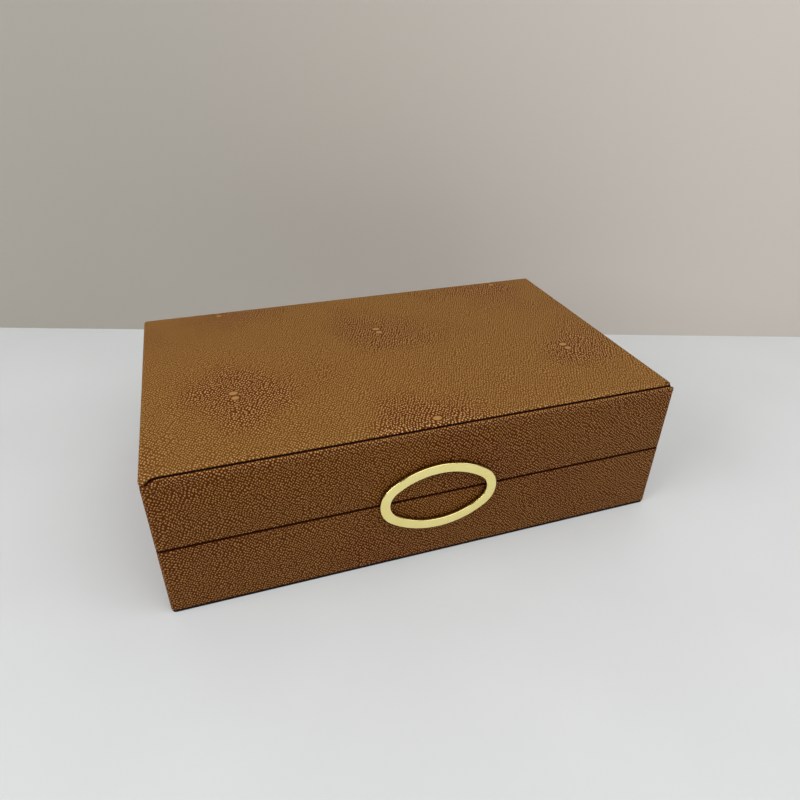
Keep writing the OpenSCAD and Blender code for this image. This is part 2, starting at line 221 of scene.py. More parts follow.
def inside_outline(along, depth, z):
    """The point at a depth inside the outline. Deeper than the corner's radius the walls meet in a mitre."""
    point, out = on_outline(along)
    point = point - out * min(depth, CORNER_R)
    x = min(max(point.x, depth - HALF_X), HALF_X - depth)
    y = min(max(point.y, depth - HALF_Y), HALF_Y - depth)
    return Vector((x, y, z))


def back_place(x):
    """Where on the outline a point of the back lies."""
    return BACK_START + STRAIGHT_X - x


WRAP_END = STRAIGHT_X + QUARTER + FRONT_WRAP - CORNER_R
CORNERS = [
    spread(STRAIGHT_X, STRAIGHT_X + QUARTER, CORNER_STEPS),
    spread(BACK_START - QUARTER, BACK_START, CORNER_STEPS),
]
HINGE_MARKS = [back_place(side * HINGE_X + end * HINGE_ROOM) for side in (1, -1) for end in (1, -1)]


def in_hinge_room(along):
    """Whether a place on the outline lies at a hinge."""
    point, out = on_outline(along)
    at_back = out.y > 0.99
    return at_back and abs(abs(point.x) - HINGE_X) < HINGE_ROOM


def stations(start, end, extra=()):
    """Places along the outline from start to end: round corners, hinge marks and even steps between them."""
    around = []
    for corner in CORNERS:
        around += corner + [2 * HALF_ROUND - place for place in corner]
    around += [place - 2 * HALF_ROUND for place in around]
    around += HINGE_MARKS + list(extra)
    around += spread(start, end, max(2, round((end - start) / WALL_STEP)))
    around = sorted(place for place in around if start - NEAR <= place <= end + NEAR)
    closest = 0.01 * MM
    kept = [around[0]]
    for place in around[1:]:
        if place - kept[-1] > closest:
            kept.append(place)
    return kept


def lengths(profile):
    """How far along a flat profile each of its points lies."""
    total = [0.0]
    for a, b in zip(profile, profile[1:]):
        total.append(total[-1] + math.dist(a, b))
    return total


def leather_thickness(piece):
    """Gives a sheet of leather its thickness, inwards from its face."""
    solid = piece.modifiers.new("thickness", "SOLIDIFY")
    solid.thickness = SKIN
    solid.offset = -1
    return piece


def add_column(bm, along, profile):
    """The vertices of a profile of depths and heights, at a place on the outline."""
    return [bm.verts.new(inside_outline(along, depth, z)) for depth, z in profile]


def weld(bm):
    """Joins the points that fall together in the mitred corners."""
    bmesh.ops.remove_doubles(bm, verts=bm.verts, dist=0.002 * MM)


def rim_profile(rim, up):
    """Depths and heights from the lip's inner edge round the rim to the start of the wall.

    up is 1 for the lid, whose leather goes up from its rim, and -1 for the base.
    """
    lip_end = rim + up * LIP_HEIGHT
    lip_turn = arc((RIM_WIDTH - LIP_R, rim + up * LIP_R), LIP_R, 0, -90 * up, LIP_STEPS)
    rim_turn = arc((RIM_R, rim + up * RIM_R), RIM_R, -90 * up, -180 * up, RIM_STEPS)
    return [(RIM_WIDTH, lip_end)] + lip_turn + [(HINGE_ROOM_DEPTH, rim)] + rim_turn


def room_rows(profile, rim):
    """The rows of a profile between which the hinges take the leather's place."""
    rows = [
        j for j, (depth, z) in enumerate(profile)
        if abs(z - rim) <= HINGE_ROOM_DROP + NEAR and depth <= HINGE_ROOM_DEPTH + NEAR
    ]
    return rows[0], rows[-1]


def make_base_cover(material):
    """One strip round the four walls, turned in under the base and over the rim. It ends at the back."""
    rim = BASE_HIGH.z
    foot = BASE_LOW.z
    profile = [(TURN_UNDER, foot)] + arc((FOOT_R, foot + FOOT_R), FOOT_R, -90, -180, RIM_STEPS)
    profile += [(0, rim - HINGE_ROOM_DROP)] + rim_profile(rim, -1)[::-1]
    far = lengths(profile)
    first, last = room_rows(profile, rim)
    seam = back_place(BACK_SEAM_X) - 2 * HALF_ROUND
    left_marks = [place - 2 * HALF_ROUND for place in HINGE_MARKS]
    places = stations(seam + SEAM_GAP, seam + 2 * HALF_ROUND, left_marks)
    bm = bmesh.new()
    uv_layer = bm.loops.layers.uv.new("leather")
    columns = [add_column(bm, u, profile) for u in places]

    def in_room(k, j):
        return in_hinge_room((places[k] + places[k + 1]) / 2) and first <= j < last

    join_columns(bm, uv_layer, columns, lambda i, j, k: (places[i], far[j]), skip=in_room)
    weld(bm)
    piece = add_piece("base_leather", bm, material, "base", "base_wall_cover")
    return leather_thickness(piece)


def seam_height(along):
    """The height at which the front leather of the lid starts to roll over."""
    dip, start, end = SEAM_DIPS[-1 if along < 0 else 1]
    return TOP - SEAM_BELOW_TOP - dip * ease_in((abs(along) - STRAIGHT_X + start) / (start - end))


def over_edge(s):
    """Depth, height and slope of the lid's outside, at a distance s outwards from the top's flat middle."""
    flat = TOP_BORDER - EDGE_R
    slope = min(max((s - flat) / EDGE_R, 0), math.pi / 2)
    depth = max(TOP_BORDER - s, EDGE_R) - EDGE_R * math.sin(slope)
    down = max(s - flat - EDGE_R * math.pi / 2, 0)
    return depth, TOP - EDGE_R * (1 - math.cos(slope)) - down, slope


def roll_point(s, turn):
    """A point of leather that leaves the lid's outside at s and rolls inwards by an angle."""
    depth, z, slope = over_edge(s)
    ahead = ROLL_R * math.sin(turn)
    inwards = ROLL_R * (1 - math.cos(turn))
    return (
        depth - ahead * math.cos(slope) + inwards * math.sin(slope),
        z - ahead * math.sin(slope) - inwards * math.cos(slope),
    )


def top_leather_end(along):
    """How far over the edge the top leather runs before it rolls in against the front leather's roll."""
    front_roll = (ROLL_R, seam_height(along))
    step = 0.01 * MM
    furthest = 20 * MM
    s = 0
    while s < furthest:
        depth, z, slope = over_edge(s + step)
        centre = (depth + ROLL_R * math.sin(slope), z - ROLL_R * math.cos(slope))
        if math.dist(centre, front_roll) < ROLL_SPACING:
            break
        s += step
    return s


def seam_stations():
    """Places along the lid's front and its wraps, closer together where the seam dips."""
    extra = []
    for side in (-1, 1):
        _, start, end = SEAM_DIPS[side]
        extra += [side * (STRAIGHT_X - before) for before in spread(start, end, DIP_STEPS)]
    return stations(-WRAP_END, WRAP_END, extra)


def roll_turns():
    """The angles through which an edge of leather rolls."""
    return [math.radians(angle) for angle in spread(0, ROLL_TURNS, ROLL_STEPS)]


def make_lid_front(material):
    """The lid's front leather: lip, rim and wall, then the rolled edge along the seam."""
    rim = LID_LOW.z
    lower = rim_profile(rim, 1)
    places = seam_stations()
    bm = bmesh.new()
    uv_layer = bm.loops.layers.uv.new("leather")
    columns = []
    far = []
    for u in places:
        seam = seam_height(u)
        roll = [(ROLL_R * (1 - math.cos(t)), seam + ROLL_R * math.sin(t)) for t in roll_turns()]
        profile = lower + roll
        columns.append(add_column(bm, u, profile))
        far.append(lengths(profile))
    join_columns(bm, uv_layer, columns, lambda i, j, k: (places[i], far[i][j]))
    weld(bm)
    piece = add_piece("lid_front_leather", bm, material, "lid", "lid_front_cover")
    return leather_thickness(piece)


def top_uvs(places, rows):
    """UVs that unfold from the top over each side, so that the grain runs on over the edges."""
    far = [lengths(profile) for profile in rows]

    def uv_of(i, j, k):
        _, out = on_outline((places[k] + places[k + 1]) / 2)
        point = inside_outline(places[i], *rows[i][j])
        reach = far[i][j] - TOP_BORDER
        if abs(out.x) > abs(out.y):
            return math.copysign(HALF_X + reach, out.x), point.y
        return point.x, math.copysign(HALF_Y + reach, out.y)

    return uv_of


def on_top_border(vert):
    """Whether a vertex lies on the border of the top's flat middle."""
    x, y, z = vert.co
    within = abs(x) < HALF_X - TOP_BORDER + NEAR and abs(y) < HALF_Y - TOP_BORDER + NEAR
    at_line = abs(abs(x) - HALF_X + TOP_BORDER) < NEAR or abs(abs(y) - HALF_Y + TOP_BORDER) < NEAR
    return abs(z - TOP) < NEAR and within and at_line


def fill_top(bm, uv_layer):
    """Closes the flat middle of the top with one face."""
    border = [
        edge for edge in bm.edges
        if edge.is_boundary and all(on_top_border(vert) for vert in edge.verts)
    ]
    filled = bmesh.ops.contextual_create(bm, geom=border)
    for face in filled["faces"]:
        face.normal_update()
        if face.normal.z < 0:
            face.normal_flip()
        for loop in face.loops:
            loop[uv_layer].uv = loop.vert.co.xy


def make_lid_top(material):
    """The lid's top leather: rolled along the front, and down over the sides and the back to the lip."""
    rim = LID_LOW.z
    front_places = seam_stations()
    wall_places = stations(WRAP_END, 2 * HALF_ROUND - WRAP_END)
    lower = [(0, rim + HINGE_ROOM_DROP)] + rim_profile(rim, 1)[::-1]
    bm = bmesh.new()
    uv_layer = bm.loops.layers.uv.new("leather")

    def edge_rows(end):
        return [over_edge(s)[:2] for s in spread(0, end, EDGE_STEPS)]

    front_rows = []
    front_columns = []
    for u in front_places:
        end = top_leather_end(u)
        rows = edge_rows(end) + [roll_point(end, turn) for turn in roll_turns()[1:]]
        front_rows.append(rows)
        front_columns.append(add_column(bm, u, rows))

    # Round the back the last edge row goes over from the right side's distance to the left side's
    right_end = top_leather_end(WRAP_END)
    left_end = top_leather_end(-WRAP_END)
    wall_rows = []
    wall_columns = []
    for u in wall_places:
        end = right_end + (left_end - right_end) * (u - WRAP_END) / (2 * HALF_ROUND - 2 * WRAP_END)
        rows = edge_rows(end)
        if u == wall_places[0]:
            column = front_columns[-1][:len(rows)]
        elif u == wall_places[-1]:
            column = front_columns[0][:len(rows)]
        else:
            column = add_column(bm, u, rows)
        wall_rows.append(rows + lower)
        wall_columns.append(column + add_column(bm, u, lower))
    first, last = room_rows(wall_rows[0], rim)

    def in_room(k, j):
        return in_hinge_room((wall_places[k] + wall_places[k + 1]) / 2) and first <= j < last

    join_columns(bm, uv_layer, front_columns, top_uvs(front_places, front_rows), upwards=False)
    join_columns(bm, uv_layer, wall_columns, top_uvs(wall_places, wall_rows), upwards=False, skip=in_room)
    weld(bm)
    fill_top(bm, uv_layer)
    piece = add_piece("lid_top_leather", bm, material, "lid", "lid_top_cover")
    return leather_thickness(piece)


# The oval: the middle line of the ring's band, of two long arcs and two end arcs that run into each other

OVAL_LONG = (RING_W - RING_BAND) / 2
OVAL_HIGH = (RING_H - RING_BAND) / 2
OVAL_END_X = OVAL_LONG - RING_END_R
OVAL_SIDE_R = (OVAL_END_X ** 2 + OVAL_HIGH ** 2 - RING_END_R ** 2) / (2 * (OVAL_HIGH - RING_END_R))
OVAL_DROP = OVAL_SIDE_R - OVAL_HIGH
OVAL_TURN = math.degrees(math.atan2(OVAL_DROP, OVAL_END_X))


def oval_point(offset, sweep):
    """The point of the oval's offset line in a given direction of its normal, in degrees."""
    if -OVAL_TURN <= sweep <= OVAL_TURN:
        centre, radius = (OVAL_END_X, 0), RING_END_R
    elif OVAL_TURN < sweep < 180 - OVAL_TURN:
        centre, radius = (0, -OVAL_DROP), OVAL_SIDE_R
    elif 180 - OVAL_TURN <= sweep <= 180 + OVAL_TURN:
        centre, radius = (-OVAL_END_X, 0), RING_END_R
    else:
        centre, radius = (0, OVAL_DROP), OVAL_SIDE_R
    angle = math.radians(sweep)
    return centre[0] + (radius + offset) * math.cos(angle), centre[1] + (radius + offset) * math.sin(angle)


def oval_sweeps():
    """Directions all round the oval, each once."""
    right_end = spread(-OVAL_TURN, OVAL_TURN, RING_END_STEPS)
    upper = spread(OVAL_TURN, 180 - OVAL_TURN, RING_SIDE_STEPS)[1:]
    left_end = spread(180 - OVAL_TURN, 180 + OVAL_TURN, RING_END_STEPS)[1:]
    lower = spread(180 + OVAL_TURN, 360 - OVAL_TURN, RING_SIDE_STEPS)[1:-1]
    return right_end + upper + left_end + lower


def add_band(bm, front_y, middle_z):
    """The ring itself: a flat band with softened edges, swept round the oval."""
    back_y = front_y + RING_T
    half_flat = RING_BAND / 2 - RING_BEVEL
    section = []
    for across, y, start in ((1, back_y, 90), (1, front_y, 0), (-1, front_y, -90), (-1, back_y, -180)):
        inwards = -RING_BEVEL if y == back_y else RING_BEVEL
        section += arc((across * half_flat, y + inwards), RING_BEVEL, start, start - 90, RING_BEVEL_STEPS)
    sweeps = oval_sweeps()
    columns = []
    for sweep in sweeps:
        column = []
        for offset, y in section:
            x, z = oval_point(offset, sweep)
            column.append(bm.verts.new((RING_RIGHT + x, y, middle_z + z)))
        columns.append(column + [column[0]])
    columns.append(columns[0])
    around = lengths(section + [section[0]])
    long_step = 2 * math.pi * OVAL_LONG / len(sweeps)
    uv_layer = bm.loops.layers.uv.new("metal")
    join_columns(bm, uv_layer, columns, lambda i, j, k: (i * long_step, around[j]))


def add_post(bm, x, z, start_y, end_y):
    """A round post with a bore in its end."""
    bore_y = end_y - POST_BORE
    outline = [
        (0, start_y), (POST_R, start_y), (POST_R, end_y),
        (POST_BORE_R, end_y), (POST_BORE_R, bore_y), (0, bore_y),
    ]
    verts = [bm.verts.new((x + r, y, z)) for r, y in outline]
    edges = [bm.edges.new(pair) for pair in zip(verts, verts[1:])]
    bmesh.ops.spin(
        bm, geom=verts + edges, cent=(x, 0, z), axis=(0, 1, 0),
        angle=2 * math.pi, steps=POST_STEPS, use_merge=True,
    )


def make_ring(material):
    """The oval ring with softened edges, and the two posts that hold it to the lid."""
    low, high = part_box("ring_pull")
    middle_z = PARTING + RING_UP
    bm = bmesh.new()
    add_band(bm, low.y, middle_z)
    bmesh.ops.recalc_face_normals(bm, faces=bm.faces)
    post_z = middle_z + math.sqrt(OVAL_SIDE_R ** 2 - POST_X ** 2) - OVAL_DROP
    for side in (-1, 1):
        add_post(bm, side * POST_X, post_z, low.y + RING_T / 2, high.y)
    bmesh.ops.remove_doubles(bm, verts=bm.verts, dist=0.001 * MM)
    bmesh.ops.recalc_face_normals(bm, faces=bm.faces)
    piece = add_piece("ring", bm, material, "lid", "ring_pull")
    piece.data.set_sharp_from_angle(angle=math.radians(50))
    return piece


def add_cuboid(bm, low, high):
    """A cuboid between two corners."""
    bmesh.ops.create_cube(bm, size=1)
    bmesh.ops.scale(bm, vec=high - low, verts=bm.verts)
    bmesh.ops.translate(bm, vec=(low + high) / 2, verts=bm.verts)


def round_edges(bm, edges, radius, steps):
    """Rounds some edges of a solid."""
    bmesh.ops.bevel(bm, geom=edges, offset=radius, segments=steps, profile=0.5, affect="EDGES", material=-1)


def keep_faces_flat(piece):
    """Shades the large faces of a rounded slab as flat."""
    weighted = piece.modifiers.new("flat faces", "WEIGHTED_NORMAL")
    weighted.keep_sharp = True
    return piece


def make_slab(name, node, material, body, rounding):
    """A slab in the place of a CAD node, with all its edges rounded."""
    bm = bmesh.new()
    add_cuboid(bm, *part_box(node))
    round_edges(bm, bm.edges[:], rounding, 3)
    return keep_faces_flat(add_piece(name, bm, material, body, node))


def make_felt(material):
    """The felt under the base, with round corners and a softened edge that stands out a little."""
    low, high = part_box("base_felt")
    out = Vector((FELT_OUT, FELT_OUT, 0))
    bm = bmesh.new()
    add_cuboid(bm, low - out, high + out)
    upright = [edge for edge in bm.edges if abs(edge.verts[0].co.z - edge.verts[1].co.z) > MM / 2]
    round_edges(bm, upright, CORNER_R, 8)
    around = [edge for edge in bm.edges if abs(edge.verts[0].co.z - edge.verts[1].co.z) < MM / 10]
    round_edges(bm, around, FELT_ROUNDING, 2)
    return keep_faces_flat(add_piece("felt", bm, material, "base", "base_felt"))


# Shader building blocks

def put(tree, kind, inputs=None, **settings):
    """Adds a node. Each input takes a value or another node's output."""
    node = tree.nodes.new(kind)
    for key, value in settings.items():
        setattr(node, key, value)
    for key, value in (inputs or {}).items():
        if isinstance(value, bpy.types.NodeSocket):
            tree.links.new(value, node.inputs[key])
        else:
            node.inputs[key].default_value = value
    return node


def maths(tree, operation, a, b=0.0):
    """One step of arithmetic on two values."""
    return put(tree, "ShaderNodeMath", {0: a, 1: b}, operation=operation).outputs[0]


def vector_maths(tree, operation, a, b):
    """One step of arithmetic on two vectors."""
    return put(tree, "ShaderNodeVectorMath", {0: a, 1: b}, operation=operation).outputs[0]


def blend_two(tree, a, b, share):
    """A sum of two values, where a has the given share of the whole."""
    return maths(tree, "ADD", maths(tree, "MULTIPLY", a, share), maths(tree, "MULTIPLY", b, 1 - share))


def length_of(tree, x, y):
    """The length of a flat vector."""
    squares = maths(tree, "ADD", maths(tree, "MULTIPLY", x, x), maths(tree, "MULTIPLY", y, y))
    return maths(tree, "SQRT", squares)


def ramp(tree, value, start, end, low=0.0, high=1.0):
    """A smooth step from low at start to high at end."""
    node = put(
        tree, "ShaderNodeMapRange", {"Value": value, "From Min": start, "From Max": end,
                                     "To Min": low, "To Max": high},
        interpolation_type="SMOOTHSTEP",
    )
    return node.outputs["Result"]


def blend_colours(tree, factor, a, b):
    """A mix of two colours."""
    return put(tree, "ShaderNodeMix", {0: factor, 6: a, 7: b}, data_type="RGBA").outputs[2]


def blend_values(tree, factor, a, b):
    """A mix of two values."""
    return put(tree, "ShaderNodeMix", {0: factor, 2: a, 3: b}, data_type="FLOAT").outputs[0]


def noise(tree, vector, scale, detail=2.0, roughness=0.5, distortion=0.0):
    """A noise texture, as its node."""
    settings = {
        "Vector": vector, "Scale": scale, "Detail": detail, "Roughness": roughness, "Distortion": distortion,
    }
    return put(tree, "ShaderNodeTexNoise", settings)


def colour(red, green, blue):
    """A colour written in display values from 0 to 255."""
    def linear(value):
        value /= 255
        return value / 12.92 if value <= 0.04045 else ((value + 0.055) / 1.055) ** 2.4
    return linear(red), linear(green), linear(blue), 1.0


def new_group(name, inputs, outputs):
    """An empty shader group. Inputs are (name, socket type, default); outputs are (name, socket type)."""
    tree = bpy.data.node_groups.new(name, "ShaderNodeTree")
    for label, kind, default in inputs:
        socket = tree.interface.new_socket(name=label, in_out="INPUT", socket_type=kind)
        if default is not None:
            socket.default_value = default
    for label, kind in outputs:
        tree.interface.new_socket(name=label, in_out="OUTPUT", socket_type=kind)
    return tree, tree.nodes.new("NodeGroupInput"), tree.nodes.new("NodeGroupOutput")


def use_group(tree, group, inputs):
    """A node of a shader group in another tree."""
    return put(tree, "ShaderNodeGroup", inputs, node_tree=group)


def new_material(name):
    """A material with its tree and its Principled node."""
    material = bpy.data.materials.new(name)
    material.use_nodes = True
    tree = material.node_tree
    return material, tree, tree.nodes["Principled BSDF"]


def object_coords(tree):
    """The place on the object, in metres."""
    return tree.nodes.new("ShaderNodeTexCoord").outputs["Object"]


# Shagreen

# The pebbles' sizes, and how fine the grain may be for the two larger ones: it is coarse round the pearls and
# in slow streaks between them
PEBBLES = 1.5 * MM
MIDDLE_PEBBLES = 1.42 * MM
SMALL_PEBBLES = 1.34 * MM
LARGE_BELOW = 0.28
MIDDLE_BELOW = 0.58
ALWAYS_BELOW = 2.0
# How far the rows of pebbles are turned, how irregular they are, and how much the sizes mix at their limits
PEBBLE_TURN = math.radians(35)
PEBBLE_DISORDER = 0.42
PEBBLE_MIXING = 0.14
# A pebble's outer edge and its flat top, in pitches from its middle
PEBBLE_EDGE = (0.43, 0.06)
# The rows bend by up to half of this length
ROW_BEND = 5 * MM
# The coarse zone round the pearls fades out between these distances
COARSE_ZONE = (4 * MM, 48 * MM)
# The pressed pattern repeats: every second column of pearls stands half a row higher and a little to the left
PEARL_COLUMNS = 107 * MM
PEARL_ROWS = 117 * MM
PEARL_LEFT = 5 * MM
PEARL_START = (-100 * MM, -28 * MM)
# Each pearl's place in its cluster and its two half widths
PEARLS = [
    ((0.0 * MM, 2.9 * MM), (2.9 * MM, 2.3 * MM)),
    ((0.6 * MM, -2.6 * MM), (2.5 * MM, 2.2 * MM)),
]
# In half widths of a pearl: its edge and its flat top, the ground round it, and its height in pebbles
PEARL_EDGE = (1.0, 0.72)
PEARL_GROUND = (1.28, 1.16)
PEARL_HEIGHT = 1.4
GRAIN_DEPTH = 0.25 * MM

# Colours of the leather, each from coarse to fine grain, the tops of the pebbles also from dark to pale
COARSE_TOPS = (colour(204, 148, 84), colour(224, 170, 102))
FINE_TOPS = (colour(206, 154, 84), colour(224, 174, 102))
PEARL_TOP = colour(180, 132, 78)
GROUND = (colour(74, 34, 4), colour(84, 44, 4))
WORN = (colour(114, 70, 32), colour(130, 90, 42))
# Pale rubbed tops along the seam, which also stand in as a painted highlight of the light on the rolled edges
RUBBED_AND_HIGHLIGHT = colour(234, 182, 120)
# Painted shade: the walls are darkened and reddened towards this colour, against the top
WALL_SHADE = colour(70, 16, 0)
SHADE = colour(40, 12, 6)
GLOSS_TINT = colour(255, 186, 112)
# How far the pebbles are worn to one tone with their ground: on the top with coarse and with fine grain, and
# on the walls
TOP_WEAR = (0.22, 0.48)
WALL_WEAR = 0.08
# How strong the painted shade of the walls, the rubbed edge with its painted highlight and the painted shade
# at the edges come out
WALL_SHADE_SHARE = 0.45
RUBBED_HIGHLIGHT_SHARE = 0.85
SHADE_SHARE = 0.96
# Heights between which the walls pass into the top
TOP_EDGE = (TOP - 2.2 * MM, TOP - 0.6 * MM)
# Distances from the middle of the seam's groove: pearls begin, the rubbed edge with its painted highlight
# ends, the painted shade of the groove ends
PEARLS_FROM = (3.8 * MM, 4.6 * MM)
RUBBED_HIGHLIGHT_TO = (5.0 * MM, 3.0 * MM)
GROOVE_TO = (1.3 * MM, 0.8 * MM)
# Painted shade on the leather's edges: distances from the parting, above the foot and inside the outline
PARTING_EDGE = (1.1 * MM, 0.6 * MM)
FOOT_EDGE = (1.2 * MM, 0.7 * MM)
OUTER_SKIN = (1.4 * MM, 0.7 * MM)
# Roughness from the ground to the tops, and the gloss outside and inside the painted shade at the edges
GRAIN_ROUGHNESS = (0.7, 0.5)
GLOSS = (0.2, 0.02)


def pearl_place_group():
    """The way to the middle of the nearest cluster of pearls, and its length."""
    tree, given, result = new_group(
        "pearl_place",
        [("Vector", "NodeSocketVector", None)],
        [("X", "NodeSocketFloat"), ("Y", "NodeSocketFloat"), ("Distance", "NodeSocketFloat")],
    )
    place = put(tree, "ShaderNodeSeparateXYZ", {"Vector": given.outputs["Vector"]})
    x = maths(tree, "DIVIDE", maths(tree, "SUBTRACT", place.outputs["X"], PEARL_START[0]), PEARL_COLUMNS)
    column = maths(tree, "ROUND", x)
    odd = maths(tree, "ABSOLUTE", maths(tree, "MODULO", column, 2.0))
    y = maths(tree, "DIVIDE", maths(tree, "SUBTRACT", place.outputs["Y"], PEARL_START[1]), PEARL_ROWS)
    y = maths(tree, "SUBTRACT", y, maths(tree, "MULTIPLY", odd, 0.5))
    local_x = maths(tree, "MULTIPLY", maths(tree, "SUBTRACT", x, column), PEARL_COLUMNS)
    local_x = maths(tree, "ADD", local_x, maths(tree, "MULTIPLY", odd, PEARL_LEFT))
    local_y = maths(tree, "MULTIPLY", maths(tree, "SUBTRACT", y, maths(tree, "ROUND", y)), PEARL_ROWS)
    tree.links.new(local_x, result.inputs["X"])
    tree.links.new(local_y, result.inputs["Y"])
    tree.links.new(length_of(tree, local_x, local_y), result.inputs["Distance"])
    return tree


def pearls_group(pearl_place):
    """The large pearls themselves: their height and where they lie."""
    tree, given, result = new_group(
        "pearls",
        [("Vector", "NodeSocketVector", None)],
        [("Height", "NodeSocketFloat"), ("Pearl", "NodeSocketFloat")],
    )
    place = use_group(tree, pearl_place, {"Vector": given.outputs["Vector"]})
    nearest = None
    for (centre_x, centre_y), (half_x, half_y) in PEARLS:
        across = maths(tree, "DIVIDE", maths(tree, "SUBTRACT", place.outputs["X"], centre_x), half_x)
        along = maths(tree, "DIVIDE", maths(tree, "SUBTRACT", place.outputs["Y"], centre_y), half_y)
        distance = length_of(tree, across, along)
        nearest = distance if nearest is None else maths(tree, "MINIMUM", nearest, distance)
    tree.links.new(ramp(tree, nearest, *PEARL_EDGE), result.inputs["Height"])
    tree.links.new(ramp(tree, nearest, *PEARL_GROUND), result.inputs["Pearl"])
    return tree


def turn_flat(tree, vector, angle):
    """The place, turned about the origin by an angle."""
    node = put(tree, "ShaderNodeVectorRotate", {"Vector": vector, "Angle": angle}, rotation_type="Z_AXIS")
    return node.outputs["Vector"]


def fineness_group(pearl_place):
    """How fine the grain is at a place, from 0 at the pearls to 1."""
    tree, given, result = new_group(
        "fineness", [("Vector", "NodeSocketVector", None)], [("Fineness", "NodeSocketFloat")],
    )
    vector = given.outputs["Vector"]
    away = ramp(tree, use_group(tree, pearl_place, {"Vector": vector}).outputs["Distance"], *COARSE_ZONE)
    streaks = ramp(tree, noise(tree, vector, 16.0, 2.0, 0.45).outputs["Fac"], 0.32, 0.68)
    tree.links.new(blend_two(tree, away, streaks, 0.5), result.inputs["Fineness"])
    return tree


def pebbles_group(fineness):
    """Round pebbles of one size: their height, a tone for each, and 1 where the grain is coarse enough."""
    tree, given, result = new_group(
        "pebbles",
        [("Vector", "NodeSocketVector", None), ("Pebbles per Metre", "NodeSocketFloat", 1 / PEBBLES),
         ("Below", "NodeSocketFloat", ALWAYS_BELOW), ("Stretch", "NodeSocketFloat", 1.0)],
        [("Height", "NodeSocketFloat"), ("Tone", "NodeSocketFloat"), ("Coarse", "NodeSocketFloat")],
    )
    lengthwise = {"X": 1.0, "Y": given.outputs["Stretch"], "Z": 1.0}
    stretch = put(tree, "ShaderNodeCombineXYZ", lengthwise).outputs[0]
    squeezed = vector_maths(tree, "DIVIDE", given.outputs["Vector"], stretch)
    cell = put(
        tree, "ShaderNodeTexVoronoi",
        {"Vector": turn_flat(tree, squeezed, PEBBLE_TURN),
         "Scale": given.outputs["Pebbles per Metre"], "Randomness": PEBBLE_DISORDER},
        voronoi_dimensions="2D", feature="F1",
    )
    tone = put(tree, "ShaderNodeSeparateColor", {"Color": cell.outputs["Color"]})
    middle = vector_maths(tree, "MULTIPLY", turn_flat(tree, cell.outputs["Position"], -PEBBLE_TURN), stretch)
    fine = use_group(tree, fineness, {"Vector": middle}).outputs["Fineness"]
    uneven = maths(tree, "MULTIPLY", maths(tree, "SUBTRACT", tone.outputs["Green"], 0.5), PEBBLE_MIXING)
    coarse = maths(tree, "LESS_THAN", maths(tree, "ADD", fine, uneven), given.outputs["Below"])
    tree.links.new(ramp(tree, cell.outputs["Distance"], *PEBBLE_EDGE), result.inputs["Height"])
    tree.links.new(tone.outputs["Red"], result.inputs["Tone"])
    tree.links.new(coarse, result.inputs["Coarse"])
    return tree


def shagreen_group():
    """The whole pressed grain: height, the tone of each pebble, how fine it is, and the pearls."""
    tree, given, result = new_group(
        "shagreen",
        [("Vector", "NodeSocketVector", None), ("Pearls", "NodeSocketFloat", 1.0),
         ("Stretch", "NodeSocketFloat", 1.0)],
        [("Height", "NodeSocketFloat"), ("Tone", "NodeSocketFloat"), ("Fineness", "NodeSocketFloat"),
         ("Pearl", "NodeSocketFloat")],
    )
    vector = given.outputs["Vector"]
    stretch = given.outputs["Stretch"]
    pearl_place = pearl_place_group()
    fineness = fineness_group(pearl_place)
    fine = use_group(tree, fineness, {"Vector": vector}).outputs["Fineness"]
    drift = vector_maths(tree, "SUBTRACT", noise(tree, vector, 70.0, 1.0).outputs["Color"], (0.5, 0.5, 0.5))
    drift = put(tree, "ShaderNodeVectorMath", {0: drift, "Scale": ROW_BEND}, operation="SCALE").outputs[0]
    bent = vector_maths(tree, "ADD", vector, drift)
    pebbles = pebbles_group(fineness)
    layers = []
    sizes = ((SMALL_PEBBLES, ALWAYS_BELOW), (MIDDLE_PEBBLES, MIDDLE_BELOW), (PEBBLES, LARGE_BELOW))
    for size, below in sizes:
        settings = {"Vector": bent, "Pebbles per Metre": 1 / size, "Below": below, "Stretch": stretch}
        layers.append(use_group(tree, pebbles, settings))
    height = layers[0].outputs["Height"]
    tone = layers[0].outputs["Tone"]
    for layer in layers[1:]:
        height = blend_values(tree, layer.outputs["Coarse"], height, layer.outputs["Height"])
        tone = blend_values(tree, layer.outputs["Coarse"], tone, layer.outputs["Tone"])
    pearls = use_group(tree, pearls_group(pearl_place), {"Vector": vector})
    pearl = maths(tree, "MULTIPLY", pearls.outputs["Pearl"], given.outputs["Pearls"])
    raised = maths(tree, "MULTIPLY", pearls.outputs["Height"], PEARL_HEIGHT)
    height = blend_values(tree, pearl, height, raised)
    tree.links.new(height, result.inputs["Height"])
    tree.links.new(tone, result.inputs["Tone"])
    tree.links.new(fine, result.inputs["Fineness"])
    tree.links.new(pearl, result.inputs["Pearl"])
    return tree


SHAGREEN = shagreen_group()


def from_seam(tree):
    """How far a place on the box is from the middle of the groove along the lid's top front edge."""
    place = put(tree, "ShaderNodeSeparateXYZ", {"Vector": object_coords(tree)})
    inwards = maths(tree, "ADD", place.outputs["Y"], HALF_Y - ROLL_R - SEAM_REACH / 2)
    above = maths(tree, "SUBTRACT", place.outputs["Z"], TOP - (ROLL_R + SEAM_BELOW_TOP) / 2)
    return length_of(tree, inwards, above)


